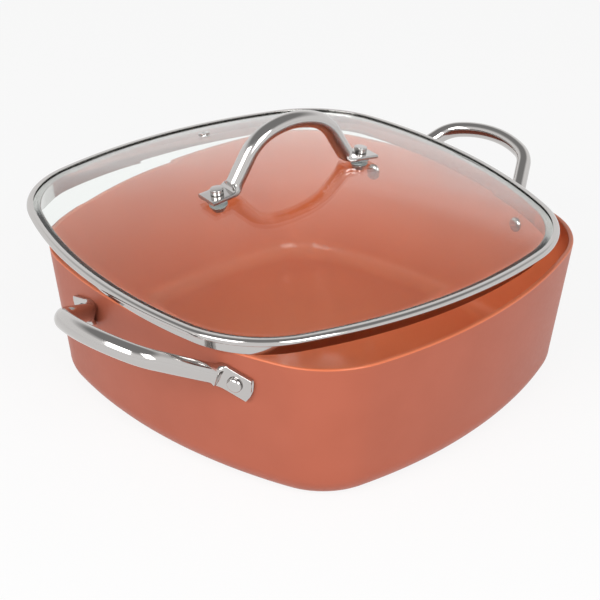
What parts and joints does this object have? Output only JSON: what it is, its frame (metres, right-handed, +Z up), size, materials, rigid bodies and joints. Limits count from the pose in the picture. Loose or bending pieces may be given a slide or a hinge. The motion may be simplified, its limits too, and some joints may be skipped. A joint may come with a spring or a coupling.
{
  "type": "casserole pot",
  "caption": "Square casserole pot with rounded corners, looped side handles and a domed glass lid that rests askew on the rim and lifts off.",
  "frame": {"origin": "centre of the pot's flat underside", "axes": "+Z up; +X square through the two walls that carry the side handles"},
  "size_m": [0.3772, 0.3031, 0.1673],
  "materials": {
    "copper_coating": "satin copper-coloured ceramic coating on aluminium",
    "base_steel": "brushed",
    "polished_steel": "polished",
    "clear_glass": "clear tempered",
    "clear_silicone": "translucent silicone"
  },
  "bodies": {
    "pot": {"pot_body": "copper_coating", "base_plate": "base_steel", "side_handle_left": "polished_steel", "side_handle_right": "polished_steel", "rivet_left_front": "polished_steel", "rivet_left_back": "polished_steel", "rivet_right_front": "polished_steel", "rivet_right_back": "polished_steel"},
    "lid": {"lid_glass": "clear_glass", "lid_rim": "polished_steel", "rim_seal": "clear_silicone", "lid_handle": "polished_steel", "lid_screw_left": "polished_steel", "lid_screw_right": "polished_steel", "upper_gasket_left": "clear_silicone", "upper_gasket_right": "clear_silicone", "lower_gasket_left": "clear_silicone", "lower_gasket_right": "clear_silicone", "steel_washer_left": "polished_steel", "steel_washer_right": "polished_steel", "lid_nut_left": "polished_steel", "lid_nut_right": "polished_steel", "vent_eyelet": "polished_steel"}
  },
  "joints": [
    {"name": "lid_lift", "type": "slide", "parent": "pot", "child": "lid", "axis": [0, 0, 1], "range_m": [0, 0.12]}
  ]
}
